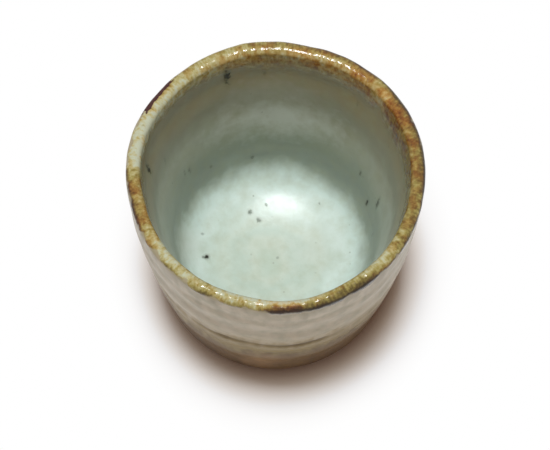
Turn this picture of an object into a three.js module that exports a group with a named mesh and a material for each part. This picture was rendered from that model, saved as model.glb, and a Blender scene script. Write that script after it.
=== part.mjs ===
// Soba choko: a small wheel-thrown stoneware cup for dipping noodles.
// A dark clay body carries a white slip, and over the slip lie a poured glaze inside,
// a dipped glaze outside and an iron-brown band round the lip. The foot is left bare.
// Millimetres, +Z up, origin at the centre of the plane that the foot ring stands on.
import * as THREE from "three";

// Clay body
const MOUTH_RADIUS = 39.4; // outside of the bare clay lip
const BODY_HEIGHT = 69.3;
const FOOT_RADIUS = 31.1; // where the outer wall meets the foot bevel
const WALL_FULLNESS = 0.4; // 0 swells low down like a bowl, 2 leaves the foot and the lip upright
const LIP_WIDTH = 1.9;
const FLOOR_HEIGHT = 10.7; // clay floor at its lowest point, above the table
const WALL_START_HEIGHT = 24.1; // inside, where the dished floor turns into the wall
const WALL_START_WIDTH = 6.2; // clay width there
const DISH_REACH = 24; // pull of the level middle of the floor
const DISH_RISE = 8; // pull of the wall on the floor's upturned edge

// Foot
const FOOT_BEVEL = 0.5;
const FOOT_RING_WIDTH = 5.2;
const FOOT_WELL_DEPTH = 4.4;
const FOOT_WELL_SLOPE = 2.4; // how far the well's side leans in

// Coats
const SLIP_THICKNESS = 0.25;
const GLAZE_THICKNESS = 0.4;
const GLAZE_ROLL = 0.3; // extra thickness where the outer glaze stopped running
const GLAZE_ROLL_HEIGHT = 2;
const BOND_GAP = 0.08; // clearance between one coat and the next
const SLIP_LINE = 4.6; // height above the table where the slip ends
const GLAZE_LINE = 6.8;
const LIP_BAND_INSIDE = 4.2; // depth of the iron band below the lip's top
const LIP_BAND_OUTSIDE = 5.2;

// Marks of the hand
const RING_PITCH = 12; // throwing rings on the outer wall
const RING_DEPTH = 0.4;
const FIRST_RING = 15.5; // height of the lowest groove
const OUT_OF_ROUND = [
  { lobes: 2, reach: 0.34, towards: 28 },
  { lobes: 3, reach: 0.22, towards: 17 },
  { lobes: 6, reach: 0.17, towards: 38 },
];
const LIP_WAVE = [
  { lobes: 2, reach: 0.3, towards: 120 },
  { lobes: 3, reach: 0.2, towards: 215 },
];
const RING_TILT = 0.8; // the rings climb as the wheel turns
const RING_TILT_TOWARDS = 200;

// Fineness
const TURN_STEPS = 48;
const FLOOR_STEPS = 9;
const INNER_WALL_STEPS = 3;
const LIP_STEPS = 5;
const OUTER_WALL_STEPS = 15;

const CLAY = new THREE.MeshStandardMaterial({ color: 0x6b4432, roughness: 0.9, metalness: 0 });
const SLIP = new THREE.MeshStandardMaterial({ color: 0xd8d2c2, roughness: 0.8, metalness: 0 });
const CELADON = new THREE.MeshStandardMaterial({ color: 0xcbd6c9, roughness: 0.25, metalness: 0 });
const GREY_GLAZE = new THREE.MeshStandardMaterial({ color: 0xbdb5a6, roughness: 0.3, metalness: 0 });
const IRON_GLAZE = new THREE.MeshStandardMaterial({ color: 0xa08650, roughness: 0.3, metalness: 0 });

const lipRadius = LIP_WIDTH / 2;
const lipCentreHeight = BODY_HEIGHT - lipRadius;
const clayTopInside = MOUTH_RADIUS - LIP_WIDTH;

// Evenly spaced values from first to last, both included.
function spread(first, last, steps) {
  return Array.from({ length: steps + 1 }, (_, i) => first + ((last - first) * i) / steps);
}

// Depth of the throwing rings: a groove at every pitch, with broad rounded ridges between.
function throwingRing(height) {
  const turn = ((height - FIRST_RING) / RING_PITCH) * 2 * Math.PI;
  return (RING_DEPTH * (1 + Math.cos(turn))) / 2;
}

// Radius of the outer wall before its rings.
function outerRadius(height) {
  const rise = height / BODY_HEIGHT;
  const narrowing = (1 - rise) * (1 - rise) * (1 + WALL_FULLNESS * rise);
  return MOUTH_RADIUS - (MOUTH_RADIUS - FOOT_RADIUS) * narrowing;
}

function outerWallPoint(height) {
  const aboveFoot = THREE.MathUtils.smoothstep(height, FOOT_BEVEL, FIRST_RING);
  const bandOutside = BODY_HEIGHT - LIP_BAND_OUTSIDE;
  const nearLip = THREE.MathUtils.smoothstep(height, bandOutside - RING_PITCH / 2, bandOutside);
  const ring = throwingRing(height) * aboveFoot * (1 - nearLip);
  return new THREE.Vector2(outerRadius(height) - ring, height);
}

function innerWallPoint(height) {
  const share = (height - WALL_START_HEIGHT) / (lipCentreHeight - WALL_START_HEIGHT);
  const startRadius = outerRadius(WALL_START_HEIGHT) - WALL_START_WIDTH;
  return new THREE.Vector2(THREE.MathUtils.lerp(startRadius, clayTopInside, share), height);
}

// The clay's skin as stretches of a half section: from the middle of the floor up the inside,
// over the lip and down the outside to the foot. Each coat covers whole stretches.
function claySkin() {
  const dish = new THREE.CubicBezierCurve(
    new THREE.Vector2(0, FLOOR_HEIGHT),
    new THREE.Vector2(DISH_REACH, FLOOR_HEIGHT),
    innerWallPoint(WALL_START_HEIGHT - DISH_RISE),
    innerWallPoint(WALL_START_HEIGHT),
  );
  const bandInside = BODY_HEIGHT - LIP_BAND_INSIDE;
  const bandOutside = BODY_HEIGHT - LIP_BAND_OUTSIDE;
  const lipArc = new THREE.EllipseCurve(
    MOUTH_RADIUS - lipRadius, lipCentreHeight, lipRadius, lipRadius, Math.PI, 0, true,
  );
  const innerHeights = spread(WALL_START_HEIGHT, bandInside - BOND_GAP, INNER_WALL_STEPS).slice(1);
  const outerHeights = spread(bandOutside - BOND_GAP, GLAZE_LINE, OUTER_WALL_STEPS);
  return {
    inside: [...dish.getPoints(FLOOR_STEPS), ...innerHeights.map(innerWallPoint)],
    lip: [innerWallPoint(bandInside), ...lipArc.getPoints(LIP_STEPS), outerWallPoint(bandOutside)],
    outside: outerHeights.map(outerWallPoint),
    slipEdge: [outerWallPoint(SLIP_LINE)],
  };
}

// The bare foot: bevel, flat ring and the well inside it, back to the axis.
function footLine() {
  const ringOutside = FOOT_RADIUS - FOOT_BEVEL;
  const ringInside = ringOutside - FOOT_RING_WIDTH;
  return [
    outerWallPoint(FOOT_BEVEL),
    new THREE.Vector2(ringOutside, 0),
    new THREE.Vector2(ringInside, 0),
    new THREE.Vector2(ringInside - FOOT_WELL_SLOPE, FOOT_WELL_DEPTH),
    new THREE.Vector2(0, FOOT_WELL_DEPTH),
  ];
}

// Each point of a line moved square to the line, out of the clay, by its own distance.
function raised(line, distanceAt) {
  return line.map((point, i) => {
    const before = line[Math.max(i - 1, 0)];
    const after = line[Math.min(i + 1, line.length - 1)];
    const along = after.clone().sub(before).normalize();
    const normal = point.x === 0 ? new THREE.Vector2(0, 1) : new THREE.Vector2(-along.y, along.x);
    return point.clone().addScaledVector(normal, distanceAt(point));
  });
}

// How far a point at this angle strays from the true turned form.
function strayed(terms, angle) {
  return terms.reduce((sum, term) => {
    const towards = THREE.MathUtils.degToRad(term.towards);
    return sum + term.reach * Math.cos(term.lobes * (angle - towards));
  }, 0);
}

// Moves one point from the true turned form to the hand-made one. The foot stays true.
function handMade(point) {
  const angle = Math.atan2(point.y, point.x);
  const radius = Math.hypot(point.x, point.y);
  const rise = THREE.MathUtils.clamp(point.z / BODY_HEIGHT, 0, 1);
  const middle = Math.sin(Math.PI * rise);
  const newRadius = radius * (1 + (strayed(OUT_OF_ROUND, angle) / MOUTH_RADIUS) * rise * rise);
  const tilt = RING_TILT * Math.cos(angle - THREE.MathUtils.degToRad(RING_TILT_TOWARDS));
  const rim = strayed(LIP_WAVE, angle) * Math.pow(rise, 4);
  const swing = (tilt * middle * radius) / MOUTH_RADIUS;
  return point.set(newRadius * Math.cos(angle), newRadius * Math.sin(angle), point.z + rim + swing);
}

// Turns a half section on the wheel and gives it the marks of the hand.
function thrown(name, section, material) {
  const closed = section[0].x === 0 ? section : [...section, section[0].clone()];
  const geometry = new THREE.LatheGeometry(closed, TURN_STEPS);
  geometry.rotateX(Math.PI / 2);
  const positions = geometry.getAttribute("position");
  const point = new THREE.Vector3();
  for (let i = 0; i < positions.count; i++) {
    handMade(point.fromBufferAttribute(positions, i));
    positions.setXYZ(i, point.x, point.y, point.z);
  }
  geometry.computeVertexNormals();
  const mesh = new THREE.Mesh(geometry, material);
  mesh.name = name;
  return mesh;
}

const skin = claySkin();
const slippedLine = [...skin.inside, ...skin.lip, ...skin.outside, ...skin.slipEdge];
const overSlip = BOND_GAP + SLIP_THICKNESS + BOND_GAP;

// A coat over part of the slip, with the thickness that it has at each height.
function coat(line, thicknessAt) {
  const start = slippedLine.indexOf(line[0]);
  const end = start + line.length;
  const under = raised(slippedLine, () => overSlip).slice(start, end);
  const over = raised(slippedLine, (point) => overSlip + thicknessAt(point.y)).slice(start, end);
  return [...under, ...over.reverse()];
}

function clayBody() {
  return thrown("clay_body", [...slippedLine, ...footLine()].reverse(), CLAY);
}

function whiteSlip() {
  const under = raised(slippedLine, () => BOND_GAP);
  const over = raised(slippedLine, () => BOND_GAP + SLIP_THICKNESS);
  return thrown("white_slip", [...under, ...over.reverse()], SLIP);
}

function insideGlaze() {
  return thrown("inside_glaze", coat(skin.inside, () => GLAZE_THICKNESS), CELADON);
}

function outsideGlaze() {
  const roll = (height) => Math.exp(-Math.pow((height - GLAZE_LINE) / GLAZE_ROLL_HEIGHT, 2));
  const section = coat(skin.outside, (height) => GLAZE_THICKNESS + GLAZE_ROLL * roll(height));
  return thrown("outside_glaze", section, GREY_GLAZE);
}

function lipIronGlaze() {
  return thrown("lip_iron_glaze", coat(skin.lip, () => GLAZE_THICKNESS), IRON_GLAZE);
}

const cup = new THREE.Group();
cup.name = "soba_choko";
cup.add(clayBody(), whiteSlip(), insideGlaze(), lipIronGlaze(), outsideGlaze());

export default cup;
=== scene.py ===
"""Looks of the soba choko: a wheel-thrown stoneware cup with slip, two glazes and an iron lip.

The part's frame is in metres, +Z up. The cup's own sizes are in millimetres here and are
turned to metres where a mesh is made.
"""
import math
from types import SimpleNamespace

import bpy
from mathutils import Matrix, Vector


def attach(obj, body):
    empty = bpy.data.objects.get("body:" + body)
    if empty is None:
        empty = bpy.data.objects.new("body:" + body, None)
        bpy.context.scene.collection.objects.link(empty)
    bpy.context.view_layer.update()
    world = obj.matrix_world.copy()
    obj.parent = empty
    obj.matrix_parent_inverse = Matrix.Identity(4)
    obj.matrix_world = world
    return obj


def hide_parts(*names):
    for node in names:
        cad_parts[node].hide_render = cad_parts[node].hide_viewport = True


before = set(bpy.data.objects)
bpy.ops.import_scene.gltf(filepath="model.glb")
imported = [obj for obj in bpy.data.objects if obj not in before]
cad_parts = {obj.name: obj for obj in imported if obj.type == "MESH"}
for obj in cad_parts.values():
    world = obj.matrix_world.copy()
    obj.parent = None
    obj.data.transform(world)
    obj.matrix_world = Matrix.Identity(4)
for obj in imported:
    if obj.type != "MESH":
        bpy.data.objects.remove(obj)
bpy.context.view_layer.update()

MM = 0.001

# Clay body, as in the part
MOUTH_RADIUS = 39.4
BODY_HEIGHT = 69.3
FOOT_RADIUS = 31.1
WALL_FULLNESS = 0.4
LIP_WIDTH = 1.9
FLOOR_HEIGHT = 10.7
WALL_START_HEIGHT = 24.1
WALL_START_WIDTH = 6.2
DISH_REACH = 24
DISH_RISE = 8
FOOT_BEVEL = 0.5
FOOT_RING_WIDTH = 5.2
FOOT_WELL_DEPTH = 4.4
FOOT_WELL_SLOPE = 2.4

# Coats, as in the part
SLIP_THICKNESS = 0.25
GLAZE_THICKNESS = 0.4
GLAZE_ROLL = 0.3
GLAZE_ROLL_HEIGHT = 2
BOND_GAP = 0.08
SLIP_LINE = 4.6
GLAZE_LINE = 6.8
LIP_BAND_INSIDE = 4.2
LIP_BAND_OUTSIDE = 5.2

# Marks of the hand: lobes round the cup, reach in mm, degrees that a lobe points to
OUT_OF_ROUND = [(2, 0.34, 28), (3, 0.22, 17), (6, 0.17, 38)]
LIP_WAVE = [(2, 0.3, 120), (3, 0.2, 215)]
# Places where the lip leans out or in: degrees that it points to, half width in degrees, reach in mm
LEANS = [(-60, 45, 1.1), (-146, 30, -0.6)]
RING_TILT = 0.8
RING_TILT_TOWARDS = 200
RING_DEPTH = 0.4
RING_PITCH = 12
FIRST_RING = 15.5
# Soft finger rings on the inner wall, and the heights over which they set in and die away
FINGER_RING_HEIGHT = 40.1
FINGER_RING_PITCH = 20
FINGER_RING_DEPTH = 0.25
FINGER_RINGS_START = (23.1, 29.1)
FINGER_RINGS_END = (53.1, 62.1)
# The lip is rolled thicker on the inside, most at the back: reach in mm, depths over which it dies away
LIP_ROLL = 0.9
LIP_ROLL_FADE = (1.5, 10)
# Sharp tool lines on the outside: height, depth
TOOL_LINES = [(27, 0.2), (36.8, 0.36)]
TOOL_LINE_WIDTH = 1.0
# The tool was pressed hardest at the front: degrees that it points to, cosines of the half angles
# between which the pressure falls off, the share of it that is left further round, size of its shake
TOOL_PRESSED_TOWARDS = -88
TOOL_PRESSED_ARC = (0.72, 0.97)
TOOL_LIGHT_SHARE = 0.3
TOOL_SHAKE_SIZE = 11
# Lumps in the wall, which set in over these shares of the height, and smaller ones near the lip
LUMP_REACH = 0.7
LUMP_SIZE = 13
LUMPS_START = (0.03, 0.25)
LIP_LUMP_REACH = 0.5
LIP_LUMP_SIZE = 8
LIP_LUMPS_START = 0.92
# A coat's lower edge wanders: reach in mm, waves on a circle of radius 1, height of the strip that slides
EDGE_WANDER = 2.2
EDGE_WAVES = 2.3
LOOSE_EDGE_HEIGHT = 6.6

# Fineness: steps round the cup and along its curves, then mm from point to point
TURN_STEPS = 360
DISH_STEPS = 90
LIP_STEPS = 14
WELL_SLOPE_STEPS = 10
FINE_STEP = 0.45
FOOT_STEP = 1
# A hidden face keeps one point in so many. The slip stays fine for so many points under the glaze's edge.
COARSE_SKIP = 6
SLIP_FINE_POINTS = 10
# Points of the rolled-up sheet that lie this close, in metres, become one
WELD_DISTANCE = 1e-6

# Worked out: the middle of the lip's round, what the coats add to the clay, the way from floor to lip inside
LIP_CENTRE_HEIGHT = BODY_HEIGHT - LIP_WIDTH / 2
OVER_SLIP = 2 * BOND_GAP + SLIP_THICKNESS
BUILD_UP = OVER_SLIP + GLAZE_THICKNESS
LIP_TOP = BODY_HEIGHT + BUILD_UP
INSIDE_START = FLOOR_HEIGHT + BUILD_UP
INSIDE_PATH = MOUTH_RADIUS - LIP_WIDTH - BUILD_UP + LIP_TOP - INSIDE_START

# Sizes in the glaze, in millimetres
CLOUD_SIZE = 9
STAIN_SIZE = 3.5
MOTTLE_SIZE = 1.2
PEEL_SIZE = 1.1
FACET_SIZE = 1.8
RUN_WIDTH = 0.8
WIDE_RUN_WIDTH = 3.2
GRIT_SPACING = 0.9
TURNING_PITCH = 0.7
# Noise in the runs counts this much of the way down the wall, which draws them out
RUN_STRETCH = 0.4
# Radii between which the lip's inner face turns into its outer face
LIP_FACES = (37.6, 39.5)
# Radii between which the floor turns into the wall
WALL_RADII = (24, 30)
# Depths below the lip: stains grow stronger over the first two, the outside turns brown over the others
STAIN_DEPTHS = (50, 10)
BROWN_DEPTHS = (24, 36)

# Glassy shine: index of refraction, and how strongly each glaze mirrors
GLAZE_IOR = 1.52
INSIDE_SHINE = 0.45
LIP_SHINE = 0.22
OUTSIDE_SHINE = 0.12
# Roughness of the glaze, and what stains, iron, specks and the knock add to it
GLAZE_ROUGHNESS = 0.28
STAIN_ROUGHNESS = 0.1
IRON_ROUGHNESS = -0.2
SPECK_ROUGHNESS = 0.3
SCAR_ROUGHNESS = 0.5
# Relief of the glazes in mm: stains, peel, pits at the specks, facets on the lip, share of runs in these
STAIN_RELIEF = 0.06
PEEL_RELIEF = 0.012
SPECK_RELIEF = -0.25
FACET_RELIEF = 0.2
FACET_RUNS = 0.25
# Bare clay and slip: relief in mm of turning lines, grit and unevenness, then roughness and its sway
TURNING_RELIEF = 0.12
GRIT_RELIEF = 0.12
UNEVEN_RELIEF = 0.25
MATT_ROUGHNESS = 0.65
MATT_ROUGHNESS_SWAY = 0.2

# Iron dust: distance from one grain to the next, a grain's radius as a share of it, most that it shows
DUST_SPACING = 3.2
DUST_SHARE = 0.09
DUST_AMOUNT = 0.5

# Colours along the inside, from the middle of the floor at 0 to the lip at 1. The darker ring from 0.41 to
# 0.46, where the floor turns into the wall, is partly glaze and partly painted shade
INSIDE_COLOURS_AND_SHADE = [
    (0.0, "#bfcebf"), (0.05, "#c9d4c6"), (0.1, "#c0d0c3"), (0.15, "#cad7ca"), (0.2, "#c8d8cd"),
    (0.25, "#d6e6de"), (0.3, "#d1e3db"), (0.36, "#b8c6bc"), (0.41, "#98a497"), (0.46, "#8f9a8e"),
    (0.54, "#9aa493"), (0.66, "#aeb5a3"), (0.78, "#a09c80"), (0.89, "#a0966f"), (0.98, "#ad9459"),
]
# The inside colours, and with them their painted shade at the foot of the wall, are counted from a point a
# little off the middle of the floor
INSIDE_COLOURS_CENTRE = (-2.6, -1.5, 0)
# How far clouds and drips shift the colours along each face, as a share of the face
CLOUD_SHIFT = 0.2
OUTSIDE_CLOUD_SHARE = 0.35
DRIP_SHIFT = 0.2
# Colours up the outside, by share of the cup's height, darker and browner towards the foot. This is partly
# painted shade, most of all in the two lowest stops, which are darkened for the shade where the cup stands on
# the paper
OUTSIDE_COLOURS_AND_SHADE = [
    (0.06, "#4c3313"), (0.17, "#6b4c21"), (0.27, "#7c5f2f"), (0.34, "#856e40"), (0.4, "#a5945f"),
    (0.5, "#ab9a68"), (0.54, "#b8a678"), (0.58, "#cfc4a4"), (0.75, "#dad1b6"), (0.9, "#ded6bc"),
    (1.0, "#bfb390"),
]
# Marks over these colours, and how strongly they show: stains from the floor to the lip, grey streaks,
# glaze pooled in the tool lines, halos of the specks, specks and the knock
STAIN_COLOUR = "#a3a886"
LOW_STAIN_COLOUR = "#6b5326"
STAIN_AMOUNTS = (0.28, 0.5)
STREAK_COLOUR = "#8f8f78"
STREAK_AMOUNT = 0.18
TOOL_POOL_COLOUR = "#6a5f4b"
TOOL_POOL_AMOUNT = 0.7
HALO_COLOUR = "#6f755c"
HALO_AMOUNT = 0.45
SPECK_COLOUR = "#24231a"
SCAR_COLOUR = "#4a2c28"
# Bare slip and clay: darkest, lightest, colour of the grit, then how strongly the grit shows
STAINED_SLIP_COLOURS = ("#4a3522", "#694d33", "#38281a")
SLIP_GRIT = 0.4
CLAY_COLOURS = ("#3e2619", "#614230", "#8a6f55")
CLAY_GRIT = 0.5
# Colours of the lip by the amount of iron, where it fired olive and where it fired rusty
OLIVE_COLOURS = [
    (0.0, "#cdd5b9"), (0.18, "#c6c18c"), (0.36, "#aa9e58"), (0.55, "#81733a"), (0.75, "#5b4d27"),
    (1.0, "#382d19"),
]
RUST_COLOURS = [
    (0.0, "#d6caa0"), (0.18, "#caa962"), (0.36, "#b28035"), (0.55, "#935923"), (0.75, "#6a3818"),
    (1.0, "#422311"),
]
# Iron on the lip's two faces, and how rusty it is: degrees round the cup from its right side, amount
LIP_IRON_INSIDE = [
    (-180, 0.36), (-172, 0.4), (-158, 0.4), (-146, 0.2), (-138, 0.12), (-128, 0.2), (-118, 0.24),
    (-110, 0.06), (-78, 0.04), (-66, 0.28), (-58, 0.34), (-48, 0.22), (-40, 0.16), (-30, 0.36),
    (-5, 0.44), (20, 0.5), (34, 0.4), (37, 0.1), (41, 0.38), (50, 0.32), (62, 0.3), (80, 0.26),
    (90, 0.38), (102, 0.3), (112, 0.2), (128, 0.24), (145, 0.12), (160, 0.0), (178, 0.04), (180, 0.36),
]
LIP_IRON_OUTSIDE = [
    (-180, 0.36), (-165, 0.55), (-156, 0.45), (-149, 0.2), (-140, 0.26), (-133, 0.36), (-126, 0.12),
    (-118, 0.45), (-112, 0.18), (-104, 0.28), (-97, 0.25), (-88, 0.85), (-80, 0.68), (-66, 0.62),
    (-53, 0.7), (-44, 0.35), (-25, 0.48), (0, 0.58), (28, 0.56), (45, 0.38), (65, 0.6), (85, 0.48),
    (105, 0.4), (125, 0.32), (140, 0.35), (152, 0.18), (165, 0.17), (178, 0.1), (180, 0.36),
]
LIP_RUST_INSIDE = [
    (-180, 0.15), (-165, 0.55), (-152, 0.35), (-140, 0.05), (-100, 0.0), (-89, 0.75), (-78, 0.1),
    (-60, 0.0), (-35, 0.05), (-20, 0.2), (0, 0.4), (20, 0.65), (45, 0.7), (65, 0.6), (98, 0.5),
    (112, 0.3), (130, 0.05), (180, 0.05),
]
LIP_RUST_OUTSIDE = [
    (-180, 0.1), (-165, 0.5), (-152, 0.3), (-140, 0.05), (-100, 0.0), (-89, 0.75), (-78, 0.1),
    (-60, 0.0), (-20, 0.1), (0, 0.2), (20, 0.3), (45, 0.15), (100, 0.1), (180, 0.05),
]
# The outer edge is darker, partly iron and partly painted shade where the lip curves away: share of iron
# added, mm across the lip over which it sets in
OUTER_LINE = 0.7
OUTER_LINE_START = (-0.3, -0.9)
# How far mottles, patches and runs sway the amount of iron, and patches its rust
MOTTLE_AMOUNT = 0.6
PATCH_AMOUNT = 0.16
RUN_AMOUNT = 0.65
RUST_SWAY = 0.5
# Reach of the iron down each face in mm: at least, more with its amount, and inside more again with its rust
INSIDE_REACH = (3.2, 6, 12)
OUTSIDE_REACH = (0.7, 2.2)
REACH_SWAY = 5
# Spots set in between these distances from their middle, counted in their half sizes
CLOUD_EDGE = (1.4, 0.2)
BLUSH_EDGE = (1.5, 0)
SPECK_EDGE = (1.2, 0.5)
HALO_EDGE = (2.2, 0.9)
# How far noise frays the edges of clouds and blushes, and of specks and halos
CLOUD_FRAY = 2
SPECK_FRAY = 2.4
# Places where the clay blushes through: place in mm, half width, half height, strength
BLUSHES = [(-3.4, -33.5, 17, 6, 8, 0.6)]
BLUSH_COLOUR = "#b58f62"
# Paler clouds inside, given in the same way: partly thick glaze, partly painted light, with a painted
# reflection high on the back wall and the lit floor carried further at the left
PALE_CLOUDS_AND_SHEEN = [
    (1, 31.5, 41, 16, 9, 0.7), (-2, 33, 51, 12, 6, 0.35), (-27.5, 0.5, 19, 6, 6, 0.7),
    (12, 3, 12, 8, 6, 0.3),
]
PALE_AND_SHEEN_COLOUR = "#ccd4ca"
# Iron specks that burst through the glaze inside, given in the same way
SPECKS = [
    (-13.3, 32.4, 62.6, 0.85, 3.2, 0.95), (-34.5, 5.4, 60.1, 0.7, 4.0, 0.9),
    (-20.0, -1.3, 14.1, 0.6, 1.5, 1.0), (-21.1, -1.5, 14.6, 0.4, 1.0, 0.4),
    (-7.4, 13.9, 12.8, 0.6, 1.2, 0.6), (-4.8, 11.5, 12.2, 0.6, 1.2, 0.5),
    (26.8, 10.9, 26.2, 0.45, 2.0, 0.9), (29.3, 6.9, 34.5, 0.6, 3.6, 0.6),
    (-30.5, 12.6, 50.4, 0.4, 1.4, 0.5), (-25.8, 15.6, 36.3, 0.4, 1.0, 0.5),
    (-24.5, 17.1, 34.7, 0.5, 1.6, 0.45), (-18.7, 21.9, 26.8, 0.5, 0.8, 0.3),
    (-6.8, 27.1, 22.6, 0.5, 0.9, 0.4), (24.6, 17.0, 33.1, 0.35, 1.4, 0.45),
    (28.3, 1.8, 23.9, 0.35, 2.4, 0.3), (13.1, 16.0, 14.0, 0.35, 1.0, 0.35),
    (0.7, -0.3, 11.5, 0.35, 1.0, 0.25), (-2.7, 16.3, 12.9, 0.35, 1.0, 0.25),
    (-3.1, 34.8, 60.4, 0.5, 1.6, 0.25), (-21.4, 5.7, 15.0, 0.4, 1.0, 0.3),
    (22.9, 26.1, 58.4, 0.5, 2.0, 0.25),
]
# A knock on the lip: shares of the turn between which it lies, radii and depths over which it sets in,
# and how far mottles chip its edge
SCAR_TURN = (0.868, 0.938)
SCAR_RADIUS = (38.3, 38.9)
SCAR_DEPTH = (4, 2.5)
SCAR_CHIPPING = 1.4

# Camera: where the photograph was taken from
CAMERA_DISTANCE = 550
CAMERA_ELEVATION = 65.66
CAMERA_AIM = (0, 0, 34.1)
CAMERA_LENS = 126.4
CAMERA_SENSOR = 36
CAMERA_NEAREST = 10

# Studio: lamp in metres and watts, weak fill, and the ring in mm over which a painted white glow on the paper
# covers the outer shadow
SOFTBOX_SIZE = (0.55, 0.5)
SOFTBOX_PLACE = (-0.09, -0.02, 3.0)
SOFTBOX_WATTS = 70
SOFTBOX_COLOUR = (0.95, 0.975, 1.0)
FILL_COLOUR = "#f0a070"
FILL_STRENGTH = 0.12
PAPER_FADE = (32.9, 56.6)
PAPER_CENTRE = (-0.2, 5.9, 0)
# The painted white ring is stretched so that the shadow looks shorter to the left, where the lamp stands, and
# a little longer to the front
PAPER_STRETCH = (1, 0.953, 1)
PAPER_STRETCH_LEFT = (1.105, 0.953, 1)
# The glow is painted a warm shadow colour over this share of the ring
PAINTED_SHADOW_COLOUR = "#ffebcf"
SHADOW_WARM_SHARE = 0.6
PAPER_COLOUR = "#f8f8f8"
# Half the paper's width in metres
FLOOR_REACH = 3


def linear(code):
    """An sRGB hex colour as linear RGBA."""
    parts = [int(code[i:i + 2], 16) / 255 for i in (1, 3, 5)]
    return [c / 12.92 if c <= 0.04045 else ((c + 0.055) / 1.055) ** 2.4 for c in parts] + [1]


def add(tree, kind, inputs=None, out=0, stops=(), **settings):
    """Adds a node with its settings, links and ramp stops. Gives one output, or all when out is None.

    A Mix node has its share at input 0, two numbers at 2 and 3, two colours at 6 and 7.
    """
    node = tree.nodes.new(kind)
    for name, value in settings.items():
        setattr(node, name, value)
    for key, value in (inputs or {}).items():
        if isinstance(value, bpy.types.NodeSocket):
            tree.links.new(value, node.inputs[key])
        else:
            node.inputs[key].default_value = value
    for i, (place, value) in enumerate(stops):
        elements = node.color_ramp.elements
        element = elements[i] if i < 2 else elements.new(place)
        element.position = place
        element.color = linear(value) if isinstance(value, str) else (value, value, value, 1)
    return node.outputs if out is None else node.outputs[out]


# Section of the cup


def smoothstep(value, low, high):
    share = min(max((value - low) / (high - low), 0), 1)
    return share * share * (3 - 2 * share)


def outer_radius(height):
    rise = height / BODY_HEIGHT
    narrowing = (1 - rise) ** 2 * (1 + WALL_FULLNESS * rise)
    return MOUTH_RADIUS - (MOUTH_RADIUS - FOOT_RADIUS) * narrowing


def outer_point(height):
    turn = 2 * math.pi * (height - FIRST_RING) / RING_PITCH
    ring = RING_DEPTH * (1 + math.cos(turn)) / 2
    ring *= smoothstep(height, FOOT_BEVEL, FIRST_RING)
    band = BODY_HEIGHT - LIP_BAND_OUTSIDE
    ring *= 1 - smoothstep(height, band - RING_PITCH / 2, band)
    return Vector((outer_radius(height) - ring, height))


def inner_point(height):
    start = outer_radius(WALL_START_HEIGHT) - WALL_START_WIDTH
    share = (height - WALL_START_HEIGHT) / (LIP_CENTRE_HEIGHT - WALL_START_HEIGHT)
    return Vector((start + (MOUTH_RADIUS - LIP_WIDTH - start) * share, height))


def fingered_point(height):
    """The inner wall with its soft rings, which fade out towards the floor and the lip."""
    turn = 2 * math.pi * (height - FINGER_RING_HEIGHT) / FINGER_RING_PITCH
    fade = smoothstep(height, *FINGER_RINGS_START) * (1 - smoothstep(height, *FINGER_RINGS_END))
    return inner_point(height) + Vector((FINGER_RING_DEPTH * math.sin(turn) * fade, 0))


def spread(first, last, step=FINE_STEP):
    """Values from first to last, both included, about one step apart."""
    count = max(1, round(abs(last - first) / step))
    return [first + (last - first) * i / count for i in range(count + 1)]


def dish_point(t):
    """The dished floor, from its middle at 0 to the foot of the wall at 1."""
    corners = [
        Vector((0, FLOOR_HEIGHT)),
        Vector((DISH_REACH, FLOOR_HEIGHT)),
        inner_point(WALL_START_HEIGHT - DISH_RISE),
        inner_point(WALL_START_HEIGHT),
    ]
    weights = [(1 - t) ** 3, 3 * t * (1 - t) ** 2, 3 * t * t * (1 - t), t ** 3]
    return sum((c * w for c, w in zip(corners, weights)), Vector((0, 0)))


def lip_point(angle):
    centre = Vector((MOUTH_RADIUS - LIP_WIDTH / 2, LIP_CENTRE_HEIGHT))
    return centre + LIP_WIDTH / 2 * Vector((-math.cos(angle), math.sin(angle)))


def raised(line, distance_at):
    """Each point of the line moved square to it, out of the clay, by its own distance."""
    moved = []
    for i, point in enumerate(line):
        along = (line[min(i + 1, len(line) - 1)] - line[max(i - 1, 0)]).normalized()
        normal = Vector((0, 1)) if point.x == 0 else Vector((-along.y, along.x))
        moved.append(point + normal * distance_at(point))
    return moved


band_inside = BODY_HEIGHT - LIP_BAND_INSIDE
band_outside = BODY_HEIGHT - LIP_BAND_OUTSIDE
inside_line = [dish_point(t) for t in spread(0, 1, 1 / DISH_STEPS)]
inside_line += [fingered_point(h) for h in spread(WALL_START_HEIGHT, band_inside)[1:]]
lip_line = [fingered_point(h) for h in spread(band_inside, LIP_CENTRE_HEIGHT)[1:-1]]
lip_line += [lip_point(a) for a in spread(0, math.pi, math.pi / LIP_STEPS)]
lip_line += [outer_point(h) for h in spread(LIP_CENTRE_HEIGHT, band_outside)[1:-1]]
outside_line = [outer_point(h) for h in spread(band_outside, GLAZE_LINE)]
slip_edge_line = [outer_point(h) for h in spread(GLAZE_LINE, SLIP_LINE)[1:]]
covered_line = inside_line + lip_line + outside_line + slip_edge_line
inside_end = len(inside_line) - 1
outside_start = len(inside_line) + len(lip_line)
glaze_end = outside_start + len(outside_line) - 1


def foot_line():
    """Bare clay below the slip: bevel, standing ring and the well inside it."""
    outside = FOOT_RADIUS - FOOT_BEVEL
    inside = outside - FOOT_RING_WIDTH
    wall = [outer_point(h) for h in spread(SLIP_LINE, FOOT_BEVEL)[1:]]
    ring = [Vector((r, 0)) for r in spread(outside, inside, FOOT_STEP)]
    slope = [
        Vector((inside - FOOT_WELL_SLOPE * s, FOOT_WELL_DEPTH * smoothstep(s, 0, 1)))
        for s in spread(0, 1, 1 / WELL_SLOPE_STEPS)[1:]
    ]
    well = [Vector((r, FOOT_WELL_DEPTH)) for r in spread(inside - FOOT_WELL_SLOPE, 0, FOOT_STEP)[1:]]
    return wall + ring + slope + well


def thinned(line):
    """Fewer points for a hidden face, with both ends kept."""
    return line[:-1:COARSE_SKIP] + line[-1:]


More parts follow.
